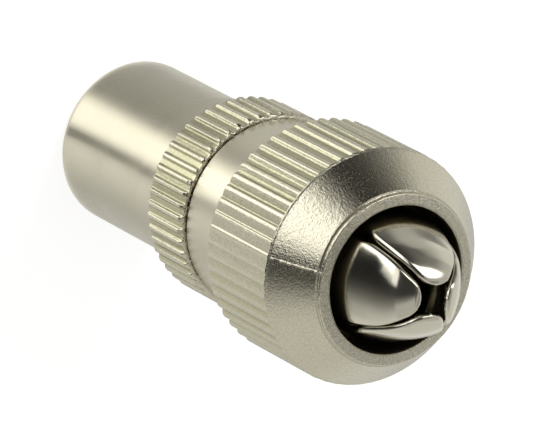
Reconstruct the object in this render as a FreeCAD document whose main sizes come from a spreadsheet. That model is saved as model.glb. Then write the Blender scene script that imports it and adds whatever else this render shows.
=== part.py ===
"""Screw-type coaxial plug with a 9.5 mm outer contact.

Lengths are in millimetres and angles in degrees. The plug stands on the open end of
its contact sleeve: the origin is the centre of that end, and +Z runs along the axis to
the cable entry.
"""
import FreeCAD, Part
import Sketcher
import math
import os
import re

# Driving dimensions, by piece. Every radius is measured from the plug's axis.
DIMENSIONS = {
    # grooves of the ribbed ring and the grip, as shares of their spacing
    "groove_mouth_share": 0.56,
    "groove_floor_share": 0.3,
    # shell: contact sleeve, plain band, ribbed ring and threaded neck in one casting
    "sleeve_radius": 4.7625,
    "sleeve_bore_radius": 4.15,
    "sleeve_length": 8.57,
    "sleeve_chamfer": 0.25,
    "band_radius": 4.93,
    "band_length": 2.63,
    "ring_radius": 5.8,
    "ring_length": 3.7,
    "ring_end_chamfer": 0.2,
    "ring_rib_count": 52,
    "ring_groove_depth": 0.22,
    "neck_radius": 4.75,
    "neck_length": 7.6,
    "neck_chamfer": 0.3,
    "relief_depth": 0.35,
    "relief_length": 0.5,
    "neck_bore_radius": 3.85,
    "lip_radius": 3.25,
    "lip_depth": 7.9,
    "lip_thickness": 1.0,
    # cap nut: collar, ridged grip, cone and rim
    "joint_line": 0.12,
    "collar_radius": 5.45,
    "collar_length": 4.31,
    "collar_chamfer": 0.2,
    "grip_radius": 6.78,
    "grip_length": 6.22,
    "grip_end_chamfer": 0.12,
    "grip_ridge_count": 54,
    "grip_groove_depth": 0.2,
    "cone_base_radius": 6.66,
    "cone_length": 2.59,
    "rim_radius": 4.915,
    "rim_chamfer": 0.12,
    "hole_radius": 4.2,
    "hole_chamfer": 0.12,
    "thread_clearance": 0.05,
    # cable clamp: spigot and flange with four bent claws
    "slide_clearance": 0.08,
    "seat_clearance": 0.03,
    "clamp_wall": 0.45,
    "spigot_length": 2.5,
    "flange_radius": 4.5,
    "flange_thickness": 0.5,
    "slot_base_height": 0.7,
    "claw_straight_length": 2.82,
    "root_bend_radius": 5.0,
    "leaf_angle": 21.0,
    "leaf_length": 2.0,
    "tip_bend_radius": 3.3,
    "tip_angle": 68.0,
    "claw_count": 4,
    "claw_tip_gap": 0.88,
    "claw_tip_half_width": 1.0,
    "claw_tip_round": 1.4,
    "claw_edge_angle": 44.0,
    "claw_blank_margin": 1.0,
    # insulator
    "fit_clearance": 0.04,
    "insulator_length": 4.0,
    # centre pin with its terminal barrel
    "pin_radius": 1.18,
    "pin_recess": 0.3,
    "pin_shank_radius": 1.45,
    "pin_tip_radius": 0.6,
    "pin_tip_length": 0.7,
    "barrel_radius": 1.9,
    "barrel_length": 5.2,
    "core_bore_radius": 0.7,
    "core_bore_depth": 4.2,
    # terminal screw
    "screw_radius": 0.75,
    "screw_length": 1.05,
    "screw_from_end": 2.1,
    "screw_slot_width": 0.3,
    "screw_slot_depth": 0.35,
}

# Heights and radii shared by several pieces, worked out from the dimensions above.
BAND_TOP = "(sleeve_length + band_length)"
RING_TOP = f"({BAND_TOP} + ring_length)"
NECK_TOP = f"({RING_TOP} + neck_length)"
LIP_TOP = "(lip_depth + lip_thickness)"
NUT_BASE = f"({RING_TOP} + joint_line)"
COLLAR_TOP = f"({NUT_BASE} + collar_length)"
GRIP_TOP = f"({COLLAR_TOP} + grip_length)"
NUT_TOP = f"({GRIP_TOP} + cone_length)"
NUT_BORE = "(neck_radius + thread_clearance)"
FLANGE_BASE = f"({NECK_TOP} + seat_clearance)"
FLANGE_TOP = f"({FLANGE_BASE} + flange_thickness)"
SLOT_BASE = f"({FLANGE_TOP} + slot_base_height)"
CLAMP_RADIUS = "(neck_bore_radius - slide_clearance)"
CLAMP_BORE = f"({CLAMP_RADIUS} - clamp_wall)"
INSULATOR_BASE = f"({LIP_TOP} + fit_clearance)"
INSULATOR_TOP = f"({INSULATOR_BASE} + insulator_length)"
BARREL_BASE = f"({INSULATOR_TOP} + fit_clearance)"
BARREL_TOP = f"({BARREL_BASE} + barrel_length)"
SCREW_HEIGHT = f"({BARREL_TOP} - screw_from_end)"

DOC = FreeCAD.newDocument("CoaxialPlug")


def make_sheet():
    """Write the driving dimensions into a spreadsheet, one aliased cell each."""
    sheet = DOC.addObject("Spreadsheet::Sheet", "Sizes")
    for row, (name, value) in enumerate(DIMENSIONS.items(), start=1):
        sheet.set(f"A{row}", name)
        sheet.set(f"B{row}", str(value))
        sheet.setAlias(f"B{row}", name)
    DOC.recompute()
    return sheet


SHEET = make_sheet()


def linked(text):
    """Point each dimension's name in a formula at its cell in the sheet."""
    def cell(match):
        word = match.group()
        return f"Sizes.{word}" if word in DIMENSIONS else word
    return re.sub(r"[a-z_]+", cell, text)


def size(text):
    """The present value of a formula."""
    value = SHEET.evalExpression(linked(text))
    return float(getattr(value, "Value", value))


def bind(item, prop, text):
    item.setExpression(prop, linked(text))


def new_body(label):
    body = DOC.addObject("PartDesign::Body", label)
    body.Label = label
    body.Placement = FreeCAD.Placement()
    return body


def origin_item(body, role):
    return next(item for item in body.Origin.OriginFeatures if item.Role == role)


def new_sketch(body, name, plane, height=None):
    """A sketch on one of the body's own planes, raised to a height where given."""
    sketch = body.newObject("Sketcher::SketchObject", name)
    sketch.AttachmentSupport = [(origin_item(body, plane), "")]
    sketch.MapMode = "FlatFace"
    if height is not None:
        bind(sketch, "AttachmentOffset.Base.z", height)
    return sketch


def constrain(sketch, kind, places, text):
    """Add one constraint whose value follows a formula."""
    number = sketch.addConstraint(Sketcher.Constraint(kind, *places, size(text)))
    bind(sketch, f"Constraints[{number}]", text)


def pin_point(sketch, edge, end, across, up):
    """Fix one end of an edge at two formulas, measured from the sketch's origin."""
    for kind, axis, text in (("DistanceX", -2, across), ("DistanceY", -1, up)):
        if size(text) == 0:
            sketch.addConstraint(Sketcher.Constraint("PointOnObject", edge, end, axis))
        else:
            constrain(sketch, kind, (-1, 1, edge, end), text)


def add_arc(sketch, start, end, centre):
    """An arc the short way round; returns its number and which of its ends is which."""
    first = math.atan2(start.y - centre.y, start.x - centre.x)
    last = math.atan2(end.y - centre.y, end.x - centre.x)
    turn = (last - first) % (2 * math.pi)
    forward = turn < math.pi
    if not forward:
        first, last = last, first
    circle = Part.Circle(centre, FreeCAD.Vector(0, 0, 1), centre.distanceToPoint(start))
    number = sketch.addGeometry(Part.ArcOfCircle(circle, first, last))
    return (number, 1, 2) if forward else (number, 2, 1)


def draw(sketch, corners, arcs=None, closed=True):
    """Join corners, given as formula pairs, by straight edges or by the arcs named.

    arcs maps an edge's number to its centre, as two formulas, and its radius.
    """
    arcs = arcs or {}
    places = [FreeCAD.Vector(size(across), size(up), 0) for across, up in corners]
    count = len(corners)
    edges = []
    for index in range(count if closed else count - 1):
        start, end = places[index], places[(index + 1) % count]
        if index in arcs:
            across, up, radius = arcs[index]
            edge = add_arc(sketch, start, end, FreeCAD.Vector(size(across), size(up), 0))
            constrain(sketch, "Radius", (edge[0],), radius)
        else:
            edge = (sketch.addGeometry(Part.LineSegment(start, end)), 1, 2)
        edges.append(edge)
    following = edges[1:] + edges[:1] if closed else edges[1:]
    for (number, _, tail), (next_number, head, _) in zip(edges, following):
        rule = Sketcher.Constraint("Coincident", number, tail, next_number, head)
        sketch.addConstraint(rule)
    for (number, head, _), (across, up) in zip(edges, corners):
        pin_point(sketch, number, head, across, up)
    if not closed:
        number, _, tail = edges[-1]
        pin_point(sketch, number, tail, *corners[-1])


def draw_circle(sketch, up, radius):
    """A circle on the sketch's upright axis."""
    centre = FreeCAD.Vector(0, size(up), 0)
    circle = Part.Circle(centre, FreeCAD.Vector(0, 0, 1), size(radius))
    number = sketch.addGeometry(circle)
    pin_point(sketch, number, 3, "0", up)
    constrain(sketch, "Radius", (number,), radius)


def revolve(body, name, corners):
    """Turn a profile of (radius, height) corners about the axis."""
    sketch = new_sketch(body, f"{name}_profile", "XZ_Plane")
    draw(sketch, corners)
    turned = body.newObject("PartDesign::Revolution", name)
    turned.Profile = sketch
    turned.ReferenceAxis = (sketch, ["V_Axis"])
    turned.Angle = 360
    return turned


def pocket(body, name, sketch, length, reverse=False):
    """Cut a sketch's outline into the body, against the sketch's own normal."""
    cut = body.newObject("PartDesign::Pocket", name)
    cut.Profile = sketch
    cut.Reversed = reverse
    bind(cut, "Length", length)
    return cut


def polar(body, name, feature, count):
    """Repeat a feature evenly about the axis."""
    pattern = body.newObject("PartDesign::PolarPattern", name)
    pattern.Originals = [feature]
    pattern.Axis = (origin_item(body, "Z_Axis"), [""])
    pattern.Angle = 360
    bind(pattern, "Occurrences", count)
    body.Tip = pattern
    return pattern


def cut_grooves(body, name, crest, depth, count, top, length):
    """Cut straight flared grooves along a cylinder's side, as wide as its ribs."""
    sketch = new_sketch(body, f"{name}_section", "XY_Plane", top)
    half_mouth = f"({crest} * sin(180deg * groove_mouth_share / {count}))"
    half_floor = f"({crest} * sin(180deg * groove_floor_share / {count}))"
    draw(sketch, [
        (f"{crest} - {depth}", f"-{half_floor}"),
        (f"{crest} + {depth}", f"-{half_mouth}"),
        (f"{crest} + {depth}", half_mouth),
        (f"{crest} - {depth}", half_floor),
    ])
    groove = pocket(body, name, sketch, length)
    polar(body, f"{name}s", groove, count)


def make_shell():
    """Contact sleeve, plain band, ribbed ring and threaded neck, cast as one piece."""
    body = new_body("shell")
    relief_radius = "(neck_radius - relief_depth)"
    revolve(body, "shell_turning", [
        ("sleeve_bore_radius", "0"),
        ("sleeve_radius - sleeve_chamfer", "0"),
        ("sleeve_radius", "sleeve_chamfer"),
        ("sleeve_radius", "sleeve_length"),
        ("band_radius", "sleeve_length"),
        ("band_radius", BAND_TOP),
        ("ring_radius", BAND_TOP),
        ("ring_radius", f"{RING_TOP} - ring_end_chamfer"),
        ("ring_radius - ring_end_chamfer", RING_TOP),
        (relief_radius, RING_TOP),
        (relief_radius, f"{RING_TOP} + relief_length"),
        ("neck_radius", f"{RING_TOP} + relief_length + relief_depth"),
        ("neck_radius", f"{NECK_TOP} - neck_chamfer"),
        ("neck_radius - neck_chamfer", NECK_TOP),
        ("neck_bore_radius", NECK_TOP),
        ("neck_bore_radius", LIP_TOP),
        ("lip_radius", LIP_TOP),
        ("lip_radius", "lip_depth"),
        ("sleeve_bore_radius", "lip_depth"),
    ])
    cut_grooves(body, "ring_groove", "ring_radius", "ring_groove_depth", "ring_rib_count",
                RING_TOP, "ring_length")
    return body


def make_cap_nut():
    """Collar, ridged grip, cone and flat rim around the cable hole."""
    body = new_body("cap_nut")
    shoulder = f"({FLANGE_TOP} + seat_clearance)"
    revolve(body, "nut_turning", [
        (NUT_BORE, NUT_BASE),
        ("collar_radius - collar_chamfer", NUT_BASE),
        ("collar_radius", f"{NUT_BASE} + collar_chamfer"),
        ("collar_radius", COLLAR_TOP),
        ("grip_radius", COLLAR_TOP),
        ("grip_radius", f"{GRIP_TOP} - grip_end_chamfer"),
        ("cone_base_radius", GRIP_TOP),
        ("rim_radius", f"{NUT_TOP} - rim_chamfer"),
        ("rim_radius - rim_chamfer", NUT_TOP),
        ("hole_radius + hole_chamfer", NUT_TOP),
        ("hole_radius", f"{NUT_TOP} - hole_chamfer"),
        ("hole_radius", shoulder),
        (NUT_BORE, shoulder),
    ])
    cut_grooves(body, "grip_groove", "grip_radius", "grip_groove_depth", "grip_ridge_count",
                f"{GRIP_TOP} - grip_end_chamfer", "grip_length")
    return body


def draw_claw_path(sketch):
    """The line along a claw's outer side: straight, root bend, flat leaf, curled tip."""
    lean, curl = "(leaf_angle * 1deg)", "(tip_angle * 1deg)"
    root_height = f"({SLOT_BASE} + claw_straight_length)"
    root_centre = f"({CLAMP_RADIUS} - root_bend_radius)"
    leaf_start = (f"({root_centre} + root_bend_radius * cos({lean}))",
                  f"({root_height} + root_bend_radius * sin({lean}))")
    leaf_end = (f"({leaf_start[0]} - leaf_length * sin({lean}))",
                f"({leaf_start[1]} + leaf_length * cos({lean}))")
    tip_centre = (f"({leaf_end[0]} - tip_bend_radius * cos({lean}))",
                  f"({leaf_end[1]} - tip_bend_radius * sin({lean}))")
    tip_end = (f"({tip_centre[0]} + tip_bend_radius * cos({curl}))",
               f"({tip_centre[1]} + tip_bend_radius * sin({curl}))")
    corners = [
        (CLAMP_RADIUS, SLOT_BASE),
        (CLAMP_RADIUS, root_height),
        leaf_start,
        leaf_end,
        tip_end,
    ]
    arcs = {
        1: (root_centre, root_height, "root_bend_radius"),
        3: (*tip_centre, "tip_bend_radius"),
    }
    draw(sketch, corners, arcs, closed=False)


def draw_claw_section(sketch):
    """A claw's curved sheet, cut square to the axis and a little wider than the claw."""
    reach = "(180deg / claw_count - claw_blank_margin * 1deg)"
    corners = []
    for radius, side in ((CLAMP_BORE, "-"), (CLAMP_RADIUS, "-"), (CLAMP_RADIUS, ""), (CLAMP_BORE, "")):
        corners.append((f"{radius} * cos({reach})", f"{side}{radius} * sin({reach})"))
    draw(sketch, corners, {1: ("0", "0", CLAMP_RADIUS), 3: ("0", "0", CLAMP_BORE)})


def draw_claw_waste(sketch):
    """What is trimmed off a claw's sheet, seen along the axis: both sides and the tip."""
    edge = "(claw_edge_angle * 1deg)"
    tip_centre = "(claw_tip_gap + claw_tip_round)"
    shoulder = f"({tip_centre} - sqrt(claw_tip_round ^ 2 - claw_tip_half_width ^ 2))"
    foot = f"({shoulder} + {CLAMP_RADIUS} * cos({edge}))"
    foot_half_width = f"(claw_tip_half_width + {CLAMP_RADIUS} * sin({edge}))"
    outside = f"(claw_tip_half_width + {CLAMP_RADIUS})"
    corners = [
        (shoulder, "-claw_tip_half_width"),
        (shoulder, "claw_tip_half_width"),
        (foot, foot_half_width),
        (foot, outside),
        ("0", outside),
        ("0", f"-{outside}"),
        (foot, f"-{outside}"),
        (foot, f"-{foot_half_width}"),
    ]
    draw(sketch, corners, {0: (tip_centre, "0", "claw_tip_round")})


def make_cable_clamp():
    """Spigot, flange and four claws that close on the cable, pressed from one cup."""
    body = new_body("cable_clamp")
    revolve(body, "clamp_turning", [
        (CLAMP_BORE, f"{FLANGE_BASE} - spigot_length"),
        (CLAMP_RADIUS, f"{FLANGE_BASE} - spigot_length"),
        (CLAMP_RADIUS, FLANGE_BASE),
        ("flange_radius", FLANGE_BASE),
        ("flange_radius", FLANGE_TOP),
        (CLAMP_RADIUS, FLANGE_TOP),
        (CLAMP_RADIUS, SLOT_BASE),
        (CLAMP_BORE, SLOT_BASE),
    ])
    path = new_sketch(body, "claw_path", "XZ_Plane")
    draw_claw_path(path)
    section = new_sketch(body, "claw_section", "XY_Plane", SLOT_BASE)
    draw_claw_section(section)
    claw = body.newObject("PartDesign::AdditivePipe", "claw")
    claw.Profile = section
    claw.Spine = (path, ["Edge1", "Edge2", "Edge3", "Edge4"])
    DOC.recompute()
    claw_height = "(claw_straight_length + root_bend_radius + leaf_length + tip_bend_radius)"
    waste = new_sketch(body, "claw_waste", "XY_Plane", f"{SLOT_BASE} + {claw_height}")
    draw_claw_waste(waste)
    trim = pocket(body, "claw_trim", waste, claw_height)
    claws = polar(body, "claws", trim, "claw_count")
    claws.TransformMode = "Whole shape"
    return body


def make_insulator():
    """Moulded bush that carries the centre pin, with a nose through the shell's lip."""
    body = new_body("insulator")
    bore = "(pin_shank_radius + fit_clearance)"
    revolve(body, "insulator_turning", [
        (bore, "lip_depth"),
        ("lip_radius - fit_clearance", "lip_depth"),
        ("lip_radius - fit_clearance", INSULATOR_BASE),
        ("neck_bore_radius - fit_clearance", INSULATOR_BASE),
        ("neck_bore_radius - fit_clearance", INSULATOR_TOP),
        (bore, INSULATOR_TOP),
    ])
    return body


def make_centre_pin():
    """Turned contact pin with a blind-bored barrel for the cable's core."""
    body = new_body("centre_pin")
    revolve(body, "pin_turning", [
        ("0", "pin_recess"),
        ("pin_tip_radius", "pin_recess"),
        ("pin_radius", "pin_recess + pin_tip_length"),
        ("pin_radius", "lip_depth"),
        ("pin_shank_radius", "lip_depth"),
        ("pin_shank_radius", BARREL_BASE),
        ("barrel_radius", BARREL_BASE),
        ("barrel_radius", BARREL_TOP),
        ("core_bore_radius", BARREL_TOP),
        ("core_bore_radius", f"{BARREL_TOP} - core_bore_depth"),
        ("0", f"{BARREL_TOP} - core_bore_depth"),
    ])
    hole = new_sketch(body, "screw_hole_circle", "YZ_Plane")
    draw_circle(hole, SCREW_HEIGHT, "screw_radius + fit_clearance")
    body.Tip = pocket(body, "screw_hole", hole, "barrel_radius + fit_clearance", reverse=True)
    return body


def make_terminal_screw():
    """Slotted grub screw that holds the core, set flush in the barrel's side."""
    body = new_body("terminal_screw")
    foot = new_sketch(body, "screw_circle", "YZ_Plane", "barrel_radius - screw_length")
    draw_circle(foot, SCREW_HEIGHT, "screw_radius")
    shank = body.newObject("PartDesign::Pad", "screw_shank")
    shank.Profile = foot
    bind(shank, "Length", "screw_length")
    outline = new_sketch(body, "driver_slot_outline", "YZ_Plane", "barrel_radius")
    half_width, half_length = "screw_slot_width / 2", "(screw_radius + fit_clearance)"
    draw(outline, [
        (f"-{half_length}", f"{SCREW_HEIGHT} - {half_width}"),
        (half_length, f"{SCREW_HEIGHT} - {half_width}"),
        (half_length, f"{SCREW_HEIGHT} + {half_width}"),
        (f"-{half_length}", f"{SCREW_HEIGHT} + {half_width}"),
    ])
    body.Tip = pocket(body, "driver_slot", outline, "screw_slot_depth")
    return body


def check(bodies):
    """Stop if any step failed or any piece is not one sound solid."""
    for item in DOC.Objects:
        if "Invalid" in item.State or "Error" in item.State:
            raise RuntimeError(f"{item.Name} failed: {item.State}")
    for body in bodies:
        shape = body.Shape
        if shape.isNull() or not shape.isValid() or len(shape.Solids) != 1:
            raise RuntimeError(f"{body.Label} is not one valid solid")


def main():
    bodies = [
        make_shell(),
        make_cap_nut(),
        make_cable_clamp(),
        make_insulator(),
        make_centre_pin(),
        make_terminal_screw(),
    ]
    DOC.recompute()
    check(bodies)
    os.makedirs("parts", exist_ok=True)
    for body in bodies:
        body.Shape.exportStep(f"parts/{body.Label}.step")
        box = body.Shape.BoundBox
        print(f"{body.Label}: {body.Shape.Volume:.1f} mm3, z {box.ZMin:.2f} to {box.ZMax:.2f}, "
              f"{box.XLength:.2f} x {box.YLength:.2f}")


main()
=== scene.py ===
"""Looks of the screw-type coaxial plug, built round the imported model.

Lengths named here are millimetres, as on the real plug, and become metres in the meshes.
Radii are measured from the plug's axis, and heights from the end of the contact sleeve.
A name that ends in ROUND is a fillet, and one that ends in ROW is the longest edge of the
mesh on its stretch of a profile.
"""

import math

import bpy
from mathutils import Matrix, Vector, noise


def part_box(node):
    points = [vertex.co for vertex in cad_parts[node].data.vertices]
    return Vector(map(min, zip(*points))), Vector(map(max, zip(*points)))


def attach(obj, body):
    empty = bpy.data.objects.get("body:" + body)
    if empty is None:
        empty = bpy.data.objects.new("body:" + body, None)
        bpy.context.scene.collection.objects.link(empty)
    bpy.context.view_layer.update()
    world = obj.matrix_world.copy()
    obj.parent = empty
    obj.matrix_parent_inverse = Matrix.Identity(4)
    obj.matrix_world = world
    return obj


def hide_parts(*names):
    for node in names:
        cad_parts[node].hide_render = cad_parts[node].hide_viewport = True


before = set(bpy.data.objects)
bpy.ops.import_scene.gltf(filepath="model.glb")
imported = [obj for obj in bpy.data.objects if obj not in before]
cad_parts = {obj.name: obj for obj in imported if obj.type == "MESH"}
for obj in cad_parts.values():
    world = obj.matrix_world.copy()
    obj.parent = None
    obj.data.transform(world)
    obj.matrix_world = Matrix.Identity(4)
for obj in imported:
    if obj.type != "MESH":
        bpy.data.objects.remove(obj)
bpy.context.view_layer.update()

MM = 0.001


def span(node):
    """Radius, lowest and highest point of a CAD node, in millimetres."""
    low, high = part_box(node)
    return high.x / MM, low.z / MM, high.z / MM


RING_RADIUS, SHELL_FOOT, NECK_TOP = span("shell")
GRIP_RADIUS, NUT_BASE, NUT_TOP = span("cap_nut")
FLANGE_RADIUS, SPIGOT_FOOT, CLAW_TOP = span("cable_clamp")

# Shell
SLEEVE_RADIUS = 4.7625
SLEEVE_BORE = 4.15
SLEEVE_LENGTH = 8.57
SLEEVE_MOUTH_ROUND = 0.22
BAND_RADIUS = 4.93
BAND_RUN = 0.05
BAND_FOOT_ROUND = 0.04
BAND_END_ROUND = 0.12
BAND_TOP = 11.2
TURNED_END = BAND_TOP - 0.05
RING_TOP = 14.9
RING_RIBS = 50
RING_GROOVE = 0.2
RING_ROW = 0.12
RING_FOOT_ROUND = 0.28
TOOTH_ROUND = 0.36
TOOTH_END = 0.3
NECK_RADIUS = 4.75
NECK_BORE = 3.85
NECK_CHAMFER = 0.3
RELIEF_DEPTH = 0.35
RELIEF_LENGTH = 0.5
THREAD_RUN_IN = 0.35
THREAD_FADE = 0.4
LIP_RADIUS = 3.25
LIP_DEPTH = 7.9
LIP_TOP = 8.9
THREAD_PITCH = 0.75
THREAD_DEPTH = 0.3
THREAD_SLOPE = 2.6
THREAD_CREST = 0.8
NUT_THREAD_SHARE = 0.8

# Cap nut
COLLAR_RADIUS = 5.45
COLLAR_FOOT_ROUND = 0.07
COLLAR_TOP = NUT_BASE + 4.31
RIDGE_START = COLLAR_RADIUS + 0.3
GRIP_TOP = COLLAR_TOP + 6.22
GRIP_FOOT_ROUND = 0.2
GRIP_END_ROUND = 0.15
GRIP_ROW = 0.14
GRIP_END_ROW = 0.04
GRIP_RIDGES = 54
GRIP_GROOVE = 0.19
GROOVE_END = 0.1
GRIP_END_RUN = 0.45
GRIP_EDGE = 0.12
CONE_BASE = 6.66
CONE_ROW = 0.08
RIM_RADIUS = 4.915
CONE_INNER = RIM_RADIUS - 0.05
RIM_FALL = 0.07
RIM_STEP = 0.33
RIM_LEDGE = 0.1
RIM_FLARE = 0.02
RIM_FLARE_RISE = 0.1
RIM_ROUND = 0.13
RIM_ROW = 0.1
HOLE_RADIUS = 4.2
HOLE_ROUND = 0.14
NUT_BORE = 4.8
NUT_LEAD = 0.1
CLAMP_PLAY = 0.03

# Fillets that several edges share
CRISP_EDGE = 0.03
BROKEN_EDGE = 0.05
PLAIN_EDGE = 0.08
SOFT_EDGE = 0.1

# Margins that keep a test of a place clear of an edge
HAIR = 0.02
MARGIN = 0.1

# Marks of the moulds: angles about the axis, shares of a pitch, and the flash line on the cone
PARTING_ANGLE = math.radians(-94.3)
RING_PARTING = math.radians(-25)
RING_SHIFT = math.radians(-0.5)
GRIP_SHIFT = math.radians(1.3)
CREST_SHARE = 0.11
FLANK_SHARE = 0.34
FLASH_HEIGHT = 0.042
FLASH_WIDTH = 0.045
FLASH_WANDER = 0.25
WANDER_WAVES = 4
RAGGED_WAVES = 7

# Uneven skins of the castings, each (size of its waves, depth)
RIB_SKIN = (0.3, 0.014)
TOOTH_SKIN = (0.2, 0.06)
GRIP_SKIN = (0.3, 0.012)
CONE_SKIN = (0.2, 0.008)
RIM_SKIN = (0.25, 0.03)

# Painted shade on one side of the foot of the rim: how far out it reaches, and its ends in degrees
# about the axis
SHADE_REACH = 0.08
SHADE_START = -146
SHADE_END = -97

# Cable clamp
CLAMP_RADIUS = 3.77
CLAMP_WALL = 0.45
FLANGE_BASE = SPIGOT_FOOT + 2.5
FLANGE_TOP = FLANGE_BASE + 0.5
SLOT_BASE = FLANGE_TOP + 0.7
CLAWS = 4
CLAW_STRAIGHT = 2.82
ROOT_BEND = 5.0
LEAF_ANGLE = math.radians(21)
LEAF_LENGTH = 2.0
TIP_BEND = 3.3
TIP_ANGLE = math.radians(68)
TIP_GAP = 0.88
TIP_LENGTH = 0.55
TIP_HALF_WIDTH = 1.05
TIP_TAPER = 0.45
BEND_BLUR = 1.3
EDGE_SLOPE = math.tan(math.radians(50))
EDGE_START = 0.45
EDGE_BLUR = 0.13
WIDTH_BLUR = 0.07
ROOT_HALF_WIDTH = 2.45
CLAW_SPACING = 0.1
FACE_RADIUS = 5.2
EDGE_ROLL = 0.05
ROLL_WIDTH = 0.5
EDGE_TURNS = (0.5, 1.0, 1.57, 2.14, 2.64)
LEAF_END = CLAW_STRAIGHT + ROOT_BEND * LEAF_ANGLE + LEAF_LENGTH
CLAW_LENGTH = LEAF_END + TIP_BEND * (TIP_ANGLE - LEAF_ANGLE)

# Linear colours. The last one, for grooves, is the share of its colour that a metal keeps at the foot
# of a groove: partly tarnish and partly painted shade.
NICKEL = (0.61, 0.575, 0.455, 1)
BRIGHT_NICKEL = (0.63, 0.6, 0.5, 1)
RIM_NICKEL = (0.6, 0.57, 0.46, 1)
# The bore colour below is painted shade: the inside of the nut and of the clamp's cup, where shade
# falls, is coloured dark.
SHADED_BORE_NICKEL = (0.25, 0.225, 0.16, 1)
IVORY = (0.8, 0.76, 0.64, 1)
DARK_IVORY = (0.66, 0.61, 0.49, 1)
FLOOR_WHITE = (0.55, 0.55, 0.55, 1)
ROOM_WHITE = (1, 0.995, 0.98, 1)
CARD_WHITE = (1, 0.995, 0.96, 1)
KEY_WHITE = (1, 1, 0.99, 1)
PURE_WHITE = (1, 1, 1, 1)
TARNISH_AND_SHADE = (0.77, 0.79, 0.67, 1)

# Textures: the width of the patches that handling has left duller or shinier, how much they
# differ, and the noise values that are drawn out to their ends and to the grain's pits
PATCH_SIZE = 2.5
PATCH_SHARE = 0.2
PATCH_LIMITS = (0.3, 0.7)
PIT_LIMITS = (0.38, 0.58)

# Columns of a turned piece's mesh: for each rib, and for a plain one
RIB_COLUMNS = 16
PLAIN_COLUMNS = 144

# View: angles in degrees, and the point looked at in millimetres
VIEW_TURN = 23.232
VIEW_ELEVATION = 53.846
VIEW_ROLL = 117.996
VIEW_DISTANCE = 443.097
VIEW_AIM = (0.259, -0.828, 16.0)
VIEW_LENS = 540.34

# Room: the floor is in metres, and the lamp's aim is a share of the plug's height
FLOOR_SIZE = 4
FULL_TURN = (-180, 180)
WALL_RADIUS = 4.8
FOOT_RADIUS = 4.9
NEAR_REACH = 12
MIDDLE_REACH = 21
OUTER_REACH = 45
CARD_REACH = 90
CARD_TOP = 75
LOW_REACH = 89
KEY_REACH = 88
CEILING_REACH = 45
CEILING_FOOT = 130
CEILING_TOP = 150
HOVER = 0.05
LAMP_AIM = 0.7


# Mesh helpers

def unit(value):
    """A value kept between 0 and 1."""
    return min(1, max(0, value))


def rounded(corners, arc_steps=5):
    """A closed profile with filleted corners.

    Each corner is (radius, height, fillet, step), and step, where it isn't 0, is the
    longest edge allowed on the stretch to the next corner.
    """
    count = len(corners)
    stretches = []
    for index, (radius, height, fillet, step) in enumerate(corners):
        here = Vector((radius, height))
        before = Vector(corners[index - 1][:2]) - here
        after = Vector(corners[(index + 1) % count][:2]) - here
        half = before.angle(after) / 2
        if fillet == 0:
            stretches.append(([here], step))
            continue
        reach = fillet / math.tan(half)
        before.normalize()
        after.normalize()
        centre = here + (before + after).normalized() * (fillet / math.sin(half))
        first = here + before * reach - centre
        last = here + after * reach - centre
        turn = first.angle_signed(last)
        arc = []
        for number in range(arc_steps + 1):
            angle = -turn * number / arc_steps
            swung = Vector((
                first.x * math.cos(angle) - first.y * math.sin(angle),
                first.x * math.sin(angle) + first.y * math.cos(angle),
            ))
            arc.append(centre + swung)
        stretches.append((arc, step))
    points = []
    for index, (arc, step) in enumerate(stretches):
        points.extend(arc)
        end = stretches[(index + 1) % count][0][0]
        gap = end - arc[-1]
        parts = math.ceil(gap.length / step) if step else 1
        points.extend(arc[-1] + gap * number / parts for number in range(1, parts))
    return points


def new_object(name, vertices, faces):
    mesh = bpy.data.meshes.new(name)
    mesh.from_pydata(vertices, [], faces)
    mesh.validate()
    mesh.shade_smooth()
    piece = bpy.data.objects.new(name, mesh)
    bpy.context.scene.collection.objects.link(piece)
    return piece


def lathe(name, profile, segments, relief=None):
    """Turn a closed profile, given anticlockwise in (radius, height), about the axis.

    relief(radius, height, angle) gives the radius that a point has in the end. How far
    that is below the profile is kept as "sunk", from 0 to 1 at GRIP_GROOVE.
    """
    vertices, sunk = [], []
    for column in range(segments):
        angle = 2 * math.pi * column / segments
        cosine, sine = math.cos(angle), math.sin(angle)
        for radius, height in profile:
            reach = relief(radius, height, angle) if relief else radius
            vertices.append((reach * cosine * MM, reach * sine * MM, height * MM))
            sunk.append(unit((radius - reach) / GRIP_GROOVE))
    rows = len(profile)
    faces = []
    for column in range(segments):
        near, far = column * rows, (column + 1) % segments * rows
        for row in range(rows):
            above = (row + 1) % rows
            faces.append((near + row, far + row, far + above, near + above))
    piece = new_object(name, vertices, faces)
    piece.data.attributes.new("sunk", "FLOAT", "POINT").data.foreach_set("value", sunk)
    weigh_normals(piece)
    return piece


def roughen(piece, low, high, grain, depth):
    """Sink a casting's outside, between two heights, by up to depth in waves of a grain's size."""
    mesh = piece.data
    points, normals = [], []
    for vertex in mesh.vertices:
        points.append(vertex.co.copy())
        normals.append(vertex.normal.copy())
    for point, normal in zip(points, normals):
        outside = point.xy.dot(normal.xy) > 0 or normal.z > 0.8
        if outside and low < point.z / MM < high:
            place = point / (grain * MM)
            sink = 0.5 + 0.5 * noise.noise(place) + 0.35 * noise.noise(place * 2.1)
            point -= normal * unit(sink) * depth * MM
    mesh.vertices.foreach_set("co", [value for point in points for value in point])
    mesh.update()


def weigh_normals(piece):
    """Let large faces set the shading of the edges beside them."""
    normals = piece.modifiers.new("flat_faces_stay_flat", "WEIGHTED_NORMAL")
    normals.weight = 50
    normals.keep_sharp = True


def groove(angle, count):
    """0 on the crest of a rib and 1 in the middle of the gap beside it."""
    off_crest = abs(math.remainder(count * angle / math.pi, 2))
    slope = unit((off_crest - 2 * CREST_SHARE) / FLANK_SHARE)
    return slope * slope * (3 - 2 * slope)


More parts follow.
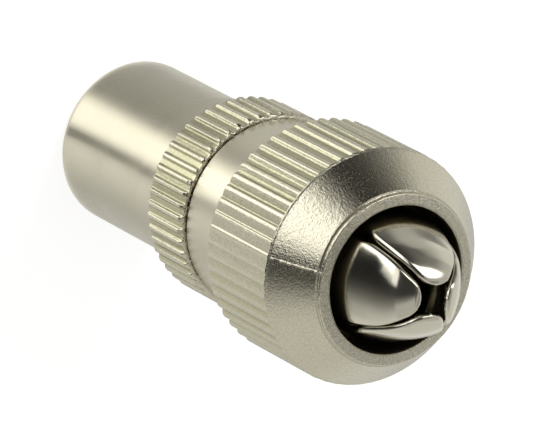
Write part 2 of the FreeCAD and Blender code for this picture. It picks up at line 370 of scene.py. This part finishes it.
def cast_rib(angle, count, crest, depth, parting):
    """Radius of a ribbed casting: toward the parting plane its mould fills the gaps.

    The mould's halves pull straight away from the parting plane, so no flank leans back
    behind the next crest in the direction of the pull.
    """
    off_plane = math.remainder(angle - parting, math.pi)
    toward_pull = 1 if off_plane > 0 else -1
    pitch = 2 * math.pi / count
    crests_passed = toward_pull * angle / pitch
    to_crest = max(0, (math.ceil(crests_passed) - crests_passed - CREST_SHARE) * pitch)
    shadow = crest * math.cos(min(math.pi / 2, abs(off_plane) + to_crest)) / math.cos(off_plane)
    return max(crest - depth * groove(angle, count), min(crest, shadow))


def thread_form(height, angle):
    """0 on the crest of a right-hand thread and 1 at its root."""
    phase = (height / THREAD_PITCH - angle / (2 * math.pi)) % 1
    return unit(THREAD_SLOPE * abs(2 * phase - 1) - THREAD_CREST)


def coat(piece, finishes, choose):
    """Give each face the finish that choose(radius, height, bearing in degrees) returns."""
    for finish in finishes:
        piece.data.materials.append(finish)
    for face in piece.data.polygons:
        centre = face.center / MM
        bearing = math.degrees(math.atan2(centre.y, centre.x))
        face.material_index = finishes.index(choose(centre.xy.length, centre.z, bearing))


def flash(radius, height, angle):
    """Height of the thin, ragged line of metal that the mould's halves left between them."""
    wander = FLASH_WANDER * noise.noise((height * WANDER_WAVES, 0, 0))
    off_line = math.remainder(angle - PARTING_ANGLE, math.pi) * radius / FLASH_WIDTH + wander
    ragged = 0.6 + 0.9 * noise.noise((height * RAGGED_WAVES, angle, 5))
    return FLASH_HEIGHT * ragged * math.exp(-off_line ** 2)


# Pieces

def make_shell():
    """Sleeve, band and ribbed ring in one casting, and the neck on top of it."""
    def ribs(radius, height, angle):
        if not BAND_TOP <= height <= RING_TOP:
            return radius
        parting = RING_PARTING + RING_SHIFT
        return min(radius, cast_rib(angle + RING_SHIFT, RING_RIBS, RING_RADIUS, RING_GROOVE, parting))

    profile = rounded([
        (SLEEVE_BORE, SHELL_FOOT, PLAIN_EDGE, 0),
        (SLEEVE_RADIUS, SHELL_FOOT, SLEEVE_MOUTH_ROUND, 0),
        (SLEEVE_RADIUS, SLEEVE_LENGTH, CRISP_EDGE, 0),
        (BAND_RADIUS, SLEEVE_LENGTH + BAND_RUN, BAND_FOOT_ROUND, 0),
        (BAND_RADIUS, BAND_TOP, BAND_END_ROUND, 0),
        (RING_RADIUS, BAND_TOP, RING_FOOT_ROUND, RING_ROW),
        (RING_RADIUS, RING_TOP, TOOTH_ROUND, 0),
        (NECK_BORE, RING_TOP, 0, 0),
        (NECK_BORE, LIP_TOP, BROKEN_EDGE, 0),
        (LIP_RADIUS, LIP_TOP, BROKEN_EDGE, 0),
        (LIP_RADIUS, LIP_DEPTH, SOFT_EDGE, 0),
        (SLEEVE_BORE, LIP_DEPTH, SOFT_EDGE, 0),
    ])
    casting = lathe("shell_casting", profile, RING_RIBS * RIB_COLUMNS, ribs)
    roughen(casting, BAND_TOP, RING_TOP - TOOTH_END, *RIB_SKIN)
    roughen(casting, RING_TOP - TOOTH_END, RING_TOP + MARGIN, *TOOTH_SKIN)
    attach(casting, "shell")
    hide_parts("shell")

    def finish(radius, height, bearing):
        if height < TURNED_END:
            return TURNED_NICKEL
        return ROUGH_NICKEL if height > RING_TOP - HAIR else CAST_NICKEL

    coat(casting, [CAST_NICKEL, TURNED_NICKEL, ROUGH_NICKEL], finish)
    make_neck()


def make_neck():
    """The threaded neck, which the ring hides while the nut is screwed down."""
    relief_radius = NECK_RADIUS - RELIEF_DEPTH
    relief_top = RING_TOP + RELIEF_LENGTH
    row = THREAD_PITCH / 12

    def thread(radius, height, angle):
        if radius < NECK_RADIUS - THREAD_DEPTH - MARGIN:
            return radius
        depth = THREAD_DEPTH * thread_form(height, angle) * unit((height - relief_top) / THREAD_FADE)
        return min(radius, NECK_RADIUS - depth)

    profile = rounded([
        (NECK_BORE, RING_TOP, 0, 0),
        (relief_radius, RING_TOP, 0, 0),
        (relief_radius, relief_top, SOFT_EDGE, 0),
        (NECK_RADIUS, relief_top + THREAD_RUN_IN, 0, row),
        (NECK_RADIUS, NECK_TOP - NECK_CHAMFER, 0, row),
        (NECK_RADIUS - NECK_CHAMFER, NECK_TOP, 0, 0),
        (NECK_BORE, NECK_TOP, PLAIN_EDGE, 0),
    ])
    neck = lathe("shell_neck", profile, PLAIN_COLUMNS, thread)
    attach(neck, "shell")
    neck.data.materials.append(TURNED_NICKEL)


def make_nut():
    """Collar, ridged grip, cone and rim in one casting, and the thread inside."""
    shoulder = FLANGE_TOP + CLAMP_PLAY

    def surface(radius, height, angle):
        if COLLAR_TOP <= height < GRIP_TOP and radius > RIDGE_START:
            run_out = unit((GRIP_TOP - GROOVE_END - height) / GROOVE_END)
            parting = PARTING_ANGLE + GRIP_SHIFT
            rib = cast_rib(angle + GRIP_SHIFT, GRIP_RIDGES, GRIP_RADIUS, GRIP_GROOVE, parting)
            return min(radius, GRIP_RADIUS + (rib - GRIP_RADIUS) * run_out)
        if GRIP_TOP < height and radius > CONE_INNER:
            return radius + flash(radius, height, angle)
        return radius

    bore = NUT_BORE + THREAD_DEPTH
    rim_foot = NUT_TOP - RIM_STEP
    profile = rounded([
        (bore, NUT_BASE, BROKEN_EDGE, 0),
        (COLLAR_RADIUS, NUT_BASE, COLLAR_FOOT_ROUND, 0),
        (COLLAR_RADIUS, COLLAR_TOP, SOFT_EDGE, 0),
        (GRIP_RADIUS, COLLAR_TOP, GRIP_FOOT_ROUND, GRIP_ROW),
        (GRIP_RADIUS, GRIP_TOP - GRIP_END_RUN, 0, GRIP_END_ROW),
        (GRIP_RADIUS, GRIP_TOP - GRIP_EDGE, GRIP_END_ROUND, GRIP_END_ROW),
        (CONE_BASE, GRIP_TOP, PLAIN_EDGE, CONE_ROW),
        (RIM_RADIUS + RIM_LEDGE, rim_foot, CRISP_EDGE, 0),
        (RIM_RADIUS + RIM_FLARE, rim_foot, CRISP_EDGE, 0),
        (RIM_RADIUS, rim_foot + RIM_FLARE_RISE, 0, 0),
        (RIM_RADIUS, NUT_TOP - RIM_FALL, RIM_ROUND, RIM_ROW),
        (HOLE_RADIUS, NUT_TOP, HOLE_ROUND, 0),
        (HOLE_RADIUS, shoulder, BROKEN_EDGE, 0),
        (bore, shoulder, 0, 0),
    ])
    nut = lathe("cap_nut_casting", profile, GRIP_RIDGES * RIB_COLUMNS, surface)
    roughen(nut, COLLAR_TOP, GRIP_TOP - GROOVE_END, *GRIP_SKIN)
    roughen(nut, GRIP_TOP - GROOVE_END, rim_foot, *CONE_SKIN)
    roughen(nut, rim_foot + HAIR, NUT_TOP + MARGIN, *RIM_SKIN)
    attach(nut, "nut")
    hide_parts("cap_nut")

    def finish(radius, height, bearing):
        if height < COLLAR_TOP:
            return TURNED_NICKEL
        # Painted shade: the nut's bore is given the dark bore colour.
        if radius < HOLE_RADIUS + HAIR:
            return SHADED_BORE
        if radius < RIM_RADIUS - MARGIN:
            return ROUGH_NICKEL
        # Painted shade: on one side, the foot of the rim is given the dark bore colour.
        at_rim_foot = radius < RIM_RADIUS + SHADE_REACH and height < rim_foot + MARGIN
        painted_shade = at_rim_foot and SHADE_START < bearing < SHADE_END
        return SHADED_BORE if painted_shade else CAST_NICKEL

    coat(nut, [CAST_NICKEL, TURNED_NICKEL, ROUGH_NICKEL, SHADED_BORE], finish)
    make_nut_thread(bore, shoulder)


def make_nut_thread(bore, shoulder):
    """The nut's female thread, lining its bore."""
    def thread(radius, height, angle):
        if radius > NUT_BORE + HAIR:
            return radius
        return NUT_BORE + THREAD_DEPTH * NUT_THREAD_SHARE * thread_form(height, angle)

    profile = rounded([
        (bore, NUT_BASE + NUT_LEAD, 0, 0),
        (bore, shoulder, 0, 0),
        (NUT_BORE, shoulder, 0, THREAD_PITCH / 10),
        (NUT_BORE, NUT_BASE + NUT_LEAD, 0, 0),
    ])
    lining = lathe("cap_nut_thread", profile, PLAIN_COLUMNS, thread)
    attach(lining, "nut")
    lining.data.materials.append(TURNED_NICKEL)


def claw_lean(along):
    """How far a claw leans inward, in radians, where its bends run softly into each other."""
    total = 0
    samples = 9
    for number in range(samples):
        place = along + BEND_BLUR * (number / (samples - 1) - 0.5)
        root = min(max(0, (place - CLAW_STRAIGHT) / ROOT_BEND), LEAF_ANGLE)
        total += root + max(0, place - LEAF_END) / TIP_BEND
    return total / samples


def claw_stations():
    """Radius, height, lean and length still to go of a claw's outer side, from root to tip."""
    steps, stride = 900, 13
    tip_start, tip_rows = 780, 24
    step = CLAW_LENGTH / steps
    radius, height = CLAMP_RADIUS, SLOT_BASE
    line = []
    for number in range(steps + 1):
        lean = claw_lean(number * step)
        line.append((radius, height, lean, CLAW_LENGTH - number * step))
        radius -= math.sin(lean) * step
        height += math.cos(lean) * step
    rows = set(range(0, tip_start, stride))
    for number in range(tip_rows + 1):
        nearness = math.sin(math.pi / 2 * number / tip_rows)
        rows.add(tip_start + round((steps - tip_start) * nearness))
    return [line[row] for row in sorted(rows)]


def claw_half_width(radius):
    """Half the claw's width where it is this far from the axis, seen along the axis."""
    past_tip = max(0, radius - TIP_GAP)
    short = max(0, 1 - past_tip / TIP_LENGTH)
    tip = TIP_HALF_WIDTH * math.sqrt(1 - short ** 2)
    shoulder = EDGE_SLOPE * EDGE_BLUR * math.log(1 + math.exp((past_tip - EDGE_START) / EDGE_BLUR))
    sides = (tip + shoulder, radius - CLAW_SPACING, ROOT_HALF_WIDTH)
    return -WIDTH_BLUR * math.log(sum(math.exp(-side / WIDTH_BLUR) for side in sides))


def face_radius(lean):
    """Radius of the sheet's own curve: the cup's at the root, flatter where it is bent."""
    return CLAMP_RADIUS + (FACE_RADIUS - CLAMP_RADIUS) * min(1, lean / LEAF_ANGLE)


def edge_angle(radius, lean):
    """How far round its own curve the claw's sheet reaches at a station, by halving."""
    curve = face_radius(lean)
    low, high = 0.0, math.pi / 4
    for _ in range(30):
        middle = (low + high) / 2
        inward = (curve * (1 - math.cos(middle)) + EDGE_ROLL) * math.cos(lean)
        if curve * math.sin(middle) < claw_half_width(radius - inward):
            low = middle
        else:
            high = middle
    return low


def across(reach, count):
    """Angles from -reach to reach in twice count steps, closer together toward the edges."""
    return [reach * math.sin(math.pi / 2 * number / count) for number in range(-count, count + 1)]


def claw_section(reach, wall, curve):
    """The sheet's section: (angle round its curve, depth below the curve)."""
    half = wall / 2
    turn_width = min(reach, half / curve)
    flat = reach - turn_width

    def rolled(angle):
        away = (reach - abs(angle)) * curve
        return EDGE_ROLL * max(0, 1 - away / ROLL_WIDTH) ** 2

    section = [(angle, rolled(angle)) for angle in across(flat, 12)]
    for turn in EDGE_TURNS:
        section.append((flat + turn_width * math.sin(turn), EDGE_ROLL + half - half * math.cos(turn)))
    section += [(angle, rolled(angle) + wall) for angle in reversed(across(flat, 6))]
    for turn in reversed(EDGE_TURNS):
        section.append((-flat - turn_width * math.sin(turn), EDGE_ROLL + half - half * math.cos(turn)))
    return section


def make_claw(number):
    """One claw: a curved sheet with rolled edges, bent inward and rounded at its tip."""
    around = 2 * math.pi * number / CLAWS
    stations = claw_stations()
    vertices, faces = [], []
    loop = 0
    for radius, height, lean, left in stations:
        curve = face_radius(lean)
        wall = CLAMP_WALL * math.sqrt(1 - max(0, 1 - left / TIP_TAPER) ** 2)
        section = claw_section(edge_angle(radius, lean), wall, curve)
        loop = len(section)
        for angle, depth in section:
            depth += (CLAMP_WALL - wall) / 2
            side = (curve - depth) * math.sin(angle)
            inward = curve - (curve - depth) * math.cos(angle)
            out = radius - inward * math.cos(lean)
            vertices.append((
                (out * math.cos(around) - side * math.sin(around)) * MM,
                (out * math.sin(around) + side * math.cos(around)) * MM,
                (height - inward * math.sin(lean)) * MM,
            ))
    for row in range(len(stations) - 1):
        near, far = row * loop, (row + 1) * loop
        for column in range(loop):
            after = (column + 1) % loop
            faces.append((near + column, near + after, far + after, far + column))
    last = (len(stations) - 1) * loop
    faces.append(tuple(range(last, last + loop)))
    claw = new_object(f"claw_{number + 1}", vertices, faces)
    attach(claw, "clamp")
    claw.data.materials.append(PRESSED_NICKEL)


def make_clamp():
    """The pressed cup with its spigot and flange, and the claws on its edge."""
    bore = CLAMP_RADIUS - CLAMP_WALL
    profile = rounded([
        (bore, SPIGOT_FOOT, SOFT_EDGE, 0),
        (CLAMP_RADIUS, SPIGOT_FOOT, SOFT_EDGE, 0),
        (CLAMP_RADIUS, FLANGE_BASE, BROKEN_EDGE, 0),
        (FLANGE_RADIUS, FLANGE_BASE, SOFT_EDGE, 0),
        (FLANGE_RADIUS, FLANGE_TOP, SOFT_EDGE, 0),
        (CLAMP_RADIUS, FLANGE_TOP, SOFT_EDGE, 0),
        (CLAMP_RADIUS, SLOT_BASE, SOFT_EDGE, 0),
        (bore, SLOT_BASE, SOFT_EDGE, 0),
    ])
    cup = lathe("clamp_cup", profile, PLAIN_COLUMNS)
    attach(cup, "clamp")
    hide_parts("cable_clamp")
    finishes = [PRESSED_NICKEL, SHADED_BORE]
    for finish in finishes:
        cup.data.materials.append(finish)
    # Painted shade: the cup's inside and its upward faces, within the nut, are given the dark bore
    # colour.
    for face in cup.data.polygons:
        faces_inward = face.normal.xy.dot(face.center.xy) < 0
        if faces_inward or face.normal.z > 0.5:
            face.material_index = finishes.index(SHADED_BORE)
    for number in range(CLAWS):
        make_claw(number)


# Materials

def new_material(name):
    material = bpy.data.materials.new(name)
    material.use_nodes = True
    return material, material.node_tree.nodes, material.node_tree.links


def texture(nodes, links, place, size, detail):
    """Noise in lumps of a size in millimetres, fixed to the piece."""
    lumps = nodes.new("ShaderNodeTexNoise")
    lumps.inputs["Scale"].default_value = 1 / (size * MM)
    lumps.inputs["Detail"].default_value = detail
    links.new(place.outputs["Object"], lumps.inputs["Vector"])
    return lumps


def spread(nodes, links, source, limits, results):
    """A texture's values between two limits, drawn out to lie between two results."""
    drawn = nodes.new("ShaderNodeMapRange")
    for end, limit, result in zip(("Min", "Max"), limits, results):
        drawn.inputs["From " + end].default_value = limit
        drawn.inputs["To " + end].default_value = result
    links.new(source.outputs["Fac"], drawn.inputs["Value"])
    return drawn.outputs["Result"]


def colour_mix(nodes, blend="MIX"):
    """A mix of two colours, A and B."""
    blended = nodes.new("ShaderNodeMix")
    blended.data_type = "RGBA"
    blended.blend_type = blend
    return blended


def emboss(nodes, links, source, height):
    """Give the surface a texture's bumps, of a height in millimetres."""
    bump = nodes.new("ShaderNodeBump")
    bump.inputs["Distance"].default_value = height * MM
    links.new(source.outputs["Fac"], bump.inputs["Height"])
    links.new(bump.outputs["Normal"], nodes["Principled BSDF"].inputs["Normal"])


def vary_roughness(nodes, links, place, roughness):
    """Handled and cleaner patches of a few millimetres, a fifth duller or shinier."""
    patches = texture(nodes, links, place, PATCH_SIZE, 4)
    varied = spread(
        nodes, links, patches, PATCH_LIMITS,
        (roughness * (1 - PATCH_SHARE), roughness * (1 + PATCH_SHARE)))
    links.new(varied, nodes["Principled BSDF"].inputs["Roughness"])


def metal(name, colour, roughness, grain_size, grain_height, anisotropy=0.0, speckle=0.0):
    """Plated metal, darkened in its grooves by tarnish and by painted shade.

    grain_size and grain_height are millimetres, and speckle is the share of its light
    that the darkest pit loses.
    """
    material, nodes, links = new_material(name)
    shader = nodes["Principled BSDF"]
    shader.inputs["Metallic"].default_value = 1
    shader.inputs["Anisotropic"].default_value = anisotropy
    place = nodes.new("ShaderNodeTexCoord")
    vary_roughness(nodes, links, place, roughness)

    # Tarnish and painted shade: the colour darkens toward the foot of each groove, by how far it is
    # sunk.
    sunk = nodes.new("ShaderNodeAttribute")
    sunk.attribute_name = "sunk"
    tarnish_and_shade = colour_mix(nodes)
    tarnish_and_shade.inputs["A"].default_value = colour
    tarnish_and_shade.inputs["B"].default_value = tuple(share * left for share, left in zip(colour, TARNISH_AND_SHADE))
    links.new(sunk.outputs["Fac"], tarnish_and_shade.inputs["Factor"])

    grain = texture(nodes, links, place, grain_size, 3)
    grain.inputs["Roughness"].default_value = 0.62
    emboss(nodes, links, grain, grain_height)
    pitted = colour_mix(nodes, "MULTIPLY")
    pitted.inputs["Factor"].default_value = 1
    links.new(tarnish_and_shade.outputs["Result"], pitted.inputs["A"])
    links.new(spread(nodes, links, grain, PIT_LIMITS, (1 - speckle, 1)), pitted.inputs["B"])
    links.new(pitted.outputs["Result"], shader.inputs["Base Color"])

    if anisotropy:
        tangent = nodes.new("ShaderNodeTangent")
        tangent.direction_type = "RADIAL"
        tangent.axis = "Z"
        links.new(tangent.outputs["Tangent"], shader.inputs["Tangent"])
        shader.inputs["Anisotropic Rotation"].default_value = 0.25
    return material


# Finishes, each with its roughness and then its grain's size and height
CAST_NICKEL = metal("cast_nickel", NICKEL, 0.12, 0.11, 0.0175, speckle=0.14)
ROUGH_NICKEL = metal("rough_nickel", RIM_NICKEL, 0.16, 0.1, 0.06, speckle=0.25)
# Painted shade for the insides of the nut and the cup.
SHADED_BORE = metal("shaded_bore", SHADED_BORE_NICKEL, 0.34, 0.2, 0.01)
TURNED_NICKEL = metal("turned_nickel", NICKEL, 0.25, 0.3, 0.002, anisotropy=0.6)
PRESSED_NICKEL = metal("pressed_nickel", BRIGHT_NICKEL, 0.13, 0.45, 0.003)

make_shell()
make_nut()
make_clamp()


def dress_node(node, material):
    """Give a CAD node its finish in place of the one it was packed with."""
    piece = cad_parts[node]
    piece.data.materials.clear()
    piece.data.materials.append(material)


def plastic(name, colour, flow_colour):
    """Moulded plastic with faint cloudy flow marks and a slightly uneven, matt skin."""
    material, nodes, links = new_material(name)
    place = nodes.new("ShaderNodeTexCoord")
    vary_roughness(nodes, links, place, 0.45)
    flow = texture(nodes, links, place, 1.2, 5)
    flow.inputs["Distortion"].default_value = 0.8
    tint = colour_mix(nodes)
    tint.inputs["A"].default_value = flow_colour
    tint.inputs["B"].default_value = colour
    links.new(flow.outputs["Fac"], tint.inputs["Factor"])
    links.new(tint.outputs["Result"], nodes["Principled BSDF"].inputs["Base Color"])
    emboss(nodes, links, texture(nodes, links, place, 0.15, 3), 0.01)
    return material


dress_node("insulator", plastic("insulator_plastic", IVORY, DARK_IVORY))
dress_node("centre_pin", metal("pin_metal", NICKEL, 0.2, 0.12, 0.004))
dress_node("terminal_screw", metal("screw_steel", NICKEL, 0.27, 0.1, 0.006))


# Room

def towards(turn, elevation=0.0):
    """Unit vector, in degrees: turn is clockwise from the -Y side, seen from above."""
    angle = math.radians(-90 - turn)
    rise = math.radians(elevation)
    return Vector((math.cos(angle) * math.cos(rise), math.sin(angle) * math.cos(rise), math.sin(rise)))


def make_floor(glow):
    """White paper that keeps the plug's shadow.

    glow is the strength of the white that it has without any light.
    """
    bpy.ops.mesh.primitive_plane_add(size=FLOOR_SIZE)
    floor = bpy.context.object
    floor.name = "floor"
    material, nodes, links = new_material("floor_paper")
    shader = nodes["Principled BSDF"]
    shader.inputs["Base Color"].default_value = FLOOR_WHITE
    shader.inputs["Roughness"].default_value = 1
    shader.inputs["Specular IOR Level"].default_value = 0
    shader.inputs["Emission Color"].default_value = PURE_WHITE
    rays = nodes.new("ShaderNodeLightPath")
    seen = rays.outputs["Is Camera Ray"]
    for kind in ("Is Glossy Ray", "Is Transmission Ray"):
        either = nodes.new("ShaderNodeMath")
        either.operation = "MAXIMUM"
        links.new(seen, either.inputs[0])
        links.new(rays.outputs[kind], either.inputs[1])
        seen = either.outputs["Value"]
    share = nodes.new("ShaderNodeMath")
    share.operation = "MULTIPLY"
    share.inputs[1].default_value = glow
    links.new(seen, share.inputs[0])
    links.new(share.outputs["Value"], shader.inputs["Emission Strength"])
    floor.data.materials.append(material)


def lamp(name, turn, elevation, distance, size, radiance):
    """A square lamp aimed at the plug's upper half: angles in degrees, lengths in millimetres."""
    light = bpy.data.lights.new(name, "AREA")
    light.size = size * MM
    light.energy = radiance * math.pi * light.size ** 2
    holder = bpy.data.objects.new(name, light)
    bpy.context.scene.collection.objects.link(holder)
    aim = Vector((0, 0, CLAW_TOP * MM * LAMP_AIM))
    holder.location = aim + towards(turn, elevation) * distance * MM
    holder.rotation_euler = towards(turn, elevation).to_track_quat("Z", "Y").to_euler()
    holder.visible_camera = False


def level_at(levels, turn):
    """Brightness at a turn, straight between the (turn, brightness) pairs in levels."""
    for (start, first), (end, last) in zip(levels, levels[1:]):
        if turn <= end:
            return first + (last - first) * (turn - start) / (end - start)
    return levels[-1][1]


def card(name, foot, head, levels, colour=CARD_WHITE):
    """A curved reflector round the plug, seen only in the metal.

    foot and head are its two edges, each (first turn, last turn, radius, height), and
    levels gives its brightness from its first turn to its last.
    """
    steps = round((foot[1] - foot[0]) / 2)
    start = levels[0][0]
    sweep = levels[-1][0] - start
    vertices, glow = [], []
    for step in range(steps + 1):
        for first, last, radius, height in (foot, head):
            turn = first + (last - first) * step / steps
            vertices.append((towards(turn) * radius + Vector((0, 0, height))) * MM)
        glow += [level_at(levels, start + sweep * step / steps)] * 2
    faces = [(2 * step, 2 * step + 2, 2 * step + 3, 2 * step + 1) for step in range(steps)]
    sheet = new_object(name, vertices, faces)
    sheet.data.attributes.new("glow", "FLOAT", "POINT").data.foreach_set("value", glow)
    material, nodes, links = new_material(name)
    nodes.remove(nodes["Principled BSDF"])
    brightness = nodes.new("ShaderNodeAttribute")
    brightness.attribute_name = "glow"
    shine = nodes.new("ShaderNodeEmission")
    shine.inputs["Color"].default_value = colour
    links.new(brightness.outputs["Fac"], shine.inputs["Strength"])
    links.new(shine.outputs["Emission"], nodes["Material Output"].inputs["Surface"])
    sheet.data.materials.append(material)
    sheet.visible_camera = False
    sheet.visible_diffuse = False
    sheet.visible_shadow = False


def mat(name, near, far, levels):
    """A reflector on the floor, seen in the plug's walls.

    near and far are its radii, and levels gives its brightness by the turn of the
    stretch of wall that mirrors it to the camera.
    """
    def edge(radius):
        swing = 1 - WALL_RADIUS / radius
        first, last = (levels[end][0] * (1 + swing) - VIEW_TURN * swing for end in (0, -1))
        return first, last, radius, HOVER

    card(name, edge(near), edge(far), levels)


def set_world(strength):
    """A plain bright room behind a white backdrop."""
    world = bpy.data.worlds.new("studio")
    bpy.context.scene.world = world
    world.use_nodes = True
    nodes, links = world.node_tree.nodes, world.node_tree.links
    background = nodes["Background"]
    background.inputs["Color"].default_value = ROOM_WHITE
    background.inputs["Strength"].default_value = strength
    backdrop = nodes.new("ShaderNodeBackground")
    backdrop.inputs["Color"].default_value = PURE_WHITE
    backdrop.inputs["Strength"].default_value = 1
    rays = nodes.new("ShaderNodeLightPath")
    seen = nodes.new("ShaderNodeMixShader")
    links.new(rays.outputs["Is Camera Ray"], seen.inputs["Fac"])
    links.new(background.outputs["Background"], seen.inputs[1])
    links.new(backdrop.outputs["Background"], seen.inputs[2])
    links.new(seen.outputs["Shader"], nodes["World Output"].inputs["Surface"])


def make_camera():
    """The photograph's long-lens view: the plug's axis leans to the lower right."""
    camera = bpy.data.cameras.new("camera")
    camera.sensor_width = 36
    camera.lens = VIEW_LENS
    camera.clip_start = 0.01
    camera.clip_end = 20
    holder = bpy.data.objects.new("camera", camera)
    bpy.context.scene.collection.objects.link(holder)
    back = towards(VIEW_TURN, VIEW_ELEVATION)
    upright = back.to_track_quat("Z", "Y").to_matrix().to_4x4()
    turn = Matrix.Rotation(math.radians(VIEW_ROLL), 4, "Z")
    stand = (Vector(VIEW_AIM) + back * VIEW_DISTANCE) * MM
    holder.matrix_world = Matrix.Translation(stand) @ upright @ turn
    bpy.context.scene.camera = holder


def lay_mats():
    """Reflectors on the floor, which the walls of ring, grip and sleeve mirror."""
    card("under_mat", (*FULL_TURN, FOOT_RADIUS, HOVER / 2), (*FULL_TURN, CARD_REACH, HOVER / 2), [
        (-180, 0.66), (180, 0.66)])
    mat("near_mat", FOOT_RADIUS, NEAR_REACH, [
        (-100, 0.7), (-50, 0.66), (-30, 0.6), (-20, 0.72), (-10, 0.9), (-4, 0.98), (1, 0.98), (4, 0.8),
        (6, 0.38), (10, 0.38), (13, 1.0), (16, 1.5), (20, 1.7), (30, 1.7), (35, 1.3), (39, 0.7),
        (44, 0.42), (52, 0.42), (70, 0.5), (90, 0.57), (100, 0.76), (118, 0.8)])
    mat("middle_mat", NEAR_REACH, MIDDLE_REACH, [
        (-92, 0.75), (-40, 0.72), (-20, 0.75), (-10, 0.85), (0, 0.95), (4, 0.8), (8, 0.65), (11, 0.75),
        (15, 1.6), (20, 2.0), (29, 2.0), (35, 1.3), (40, 0.65), (46, 0.5), (52, 0.7), (60, 0.78),
        (90, 0.75), (110, 0.8)])
    mat("outer_mat", MIDDLE_REACH, OUTER_REACH, [
        (-88, 0.58), (-40, 0.6), (-20, 0.7), (-8, 0.82), (0, 0.9), (4, 0.82), (7, 0.6), (11, 0.65),
        (14, 1.2), (18, 2.3), (30, 2.3), (34, 1.4), (40, 0.85), (46, 0.7), (60, 0.64), (80, 0.57),
        (104, 0.6)])
    card("far_mat", (*FULL_TURN, OUTER_REACH, HOVER), (*FULL_TURN, CARD_REACH, HOVER), [
        (-180, 0.9), (-98, 0.8), (-60, 0.85), (-50, 0.8), (-45, 0.6), (-32, 0.2), (-18, 0.04),
        (22, 0.02), (26, 1.7), (60, 1.7), (66, 0.1), (96, 0.2), (104, 0.55), (124, 0.62), (136, 0.9),
        (180, 0.9)])
    card("shade_mat", (98, 152, OUTER_REACH, 2 * HOVER), (98, 152, 64, 2 * HOVER), [
        (98, 0.1), (108, 0.2), (142, 0.25), (152, 0.6)])


def stand_cards():
    """Reflectors round the plug, which the cone, the rim and the claws mirror."""
    card("wall", (*FULL_TURN, CARD_REACH, 0), (*FULL_TURN, CARD_REACH, CARD_TOP), [
        (-180, 0.8), (-98, 0.74), (-72, 0.8), (-50, 0.78), (-40, 0.68), (-34, 0.52), (-28, 0.33),
        (-21, 0.17), (-14, 0.08), (-5, 0.03), (10, 0.015), (65, 0.035), (96, 0.07), (110, 0.2),
        (126, 0.3), (138, 0.6), (180, 0.85)])
    card("low_card", (98, 180, LOW_REACH, 0), (106, 180, LOW_REACH, 14), [
        (98, 0.1), (105, 0.5), (122, 0.6), (136, 0.85), (180, 0.85)])
    card("mid_card", (106, 180, LOW_REACH, 14), (112, 180, LOW_REACH, 38), [
        (106, 0.12), (112, 0.25), (122, 0.5), (136, 0.85), (180, 0.85)])
    card("high_card", (70, 142, 84, 72), (76, 138, 72, 100), [
        (70, 0.3), (74, 2.5), (136, 2.5), (142, 0.3)], KEY_WHITE)
    card("key_card", (8, 76, KEY_REACH, 22), (0, 72, KEY_REACH, 56), [
        (8, 0.3), (12, 0.75), (16, 1.25), (22, 2.4), (48, 2.4), (53, 1.8), (59, 0.95), (66, 0.3),
        (76, 0.06)], KEY_WHITE)
    card("key_foot", (32, 66, KEY_REACH, 0), (14, 70, KEY_REACH, 22), [
        (32, 0.3), (33, 2.2), (56, 2.2), (62, 0.8), (66, 0.2)], KEY_WHITE)
    card("key_fringe", (0, 72, KEY_REACH, 56), (-3, 66, KEY_REACH, 77), [
        (0, 0.4), (4, 1.4), (22, 1.4), (50, 0.8), (60, 0.4), (72, 0.15)], KEY_WHITE)


def hang_cards():
    """Reflectors over the plug, for the tops of the rim and the ring."""
    card("dark_card", (-26, 75, CARD_REACH, CARD_TOP), (-26, 75, CEILING_REACH, CEILING_FOOT), [
        (-26, 0.35), (-14, 0.05), (30, 0.05), (50, 0.12), (75, 0.15)])
    card("canopy", (160, 246, 58, 112), (160, 246, CEILING_REACH, CEILING_FOOT), [
        (160, 0.5), (175, 0.3), (230, 0.3), (246, 0.5)])
    card("ceiling", (*FULL_TURN, CEILING_REACH, CEILING_FOOT), (*FULL_TURN, 1, CEILING_TOP), [
        (-180, 0.35), (-110, 0.5), (-60, 0.5), (-30, 0.1), (85, 0.1), (110, 0.5), (150, 0.5),
        (180, 0.35)])


make_floor(glow=0.7)
make_camera()
set_world(strength=0.6)
lamp("side_lamp", turn=111, elevation=40, distance=150, size=50, radiance=6)
lay_mats()
stand_cards()
hang_cards()

bpy.context.scene.view_settings.view_transform = "Standard"
